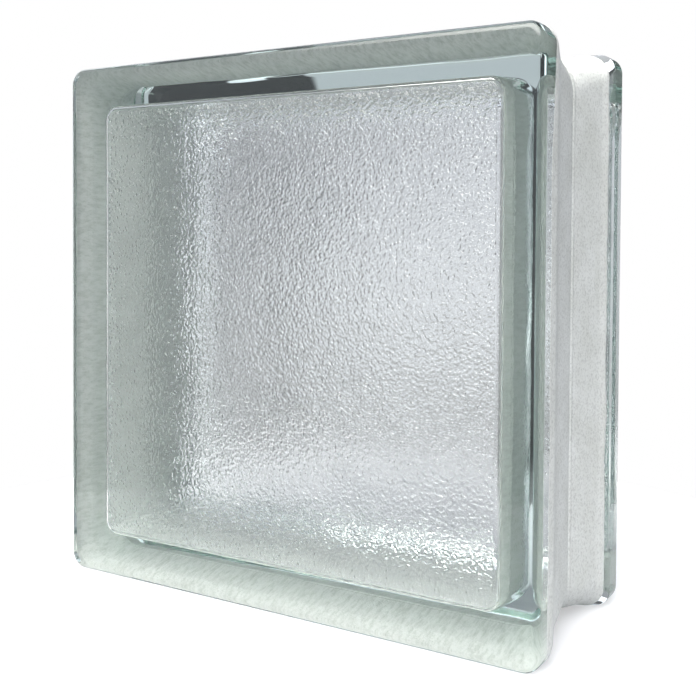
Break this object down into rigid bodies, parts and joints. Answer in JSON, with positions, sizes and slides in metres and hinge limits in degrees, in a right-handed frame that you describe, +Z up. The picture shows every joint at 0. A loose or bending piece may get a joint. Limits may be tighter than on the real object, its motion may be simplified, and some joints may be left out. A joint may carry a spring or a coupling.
{
  "type": "hollow glass block",
  "caption": "Square hollow glass wall block of fused pressed shells, finely pebbled inside, with a white-coated mortar channel round its edge.",
  "frame": {"origin": "centre of the bottom of the bounding box, on the level the block stands on", "axes": "+Z up; the front face looks toward -Y; +X to the right when facing the front"},
  "size_m": [0.197, 0.079, 0.197],
  "materials": {
    "front_glass": "pressed soda-lime glass, fire-polished outside, fine pebble texture inside",
    "rear_glass": "pressed soda-lime glass, fire-polished outside, fine pebble texture inside",
    "white_coat": "brushed-on white bonding coat, matt and slightly gritty"
  },
  "bodies": {
    "root": {"front_shell": "front_glass", "rear_shell": "rear_glass", "edge_coating": "white_coat"}
  },
  "joints": []
}
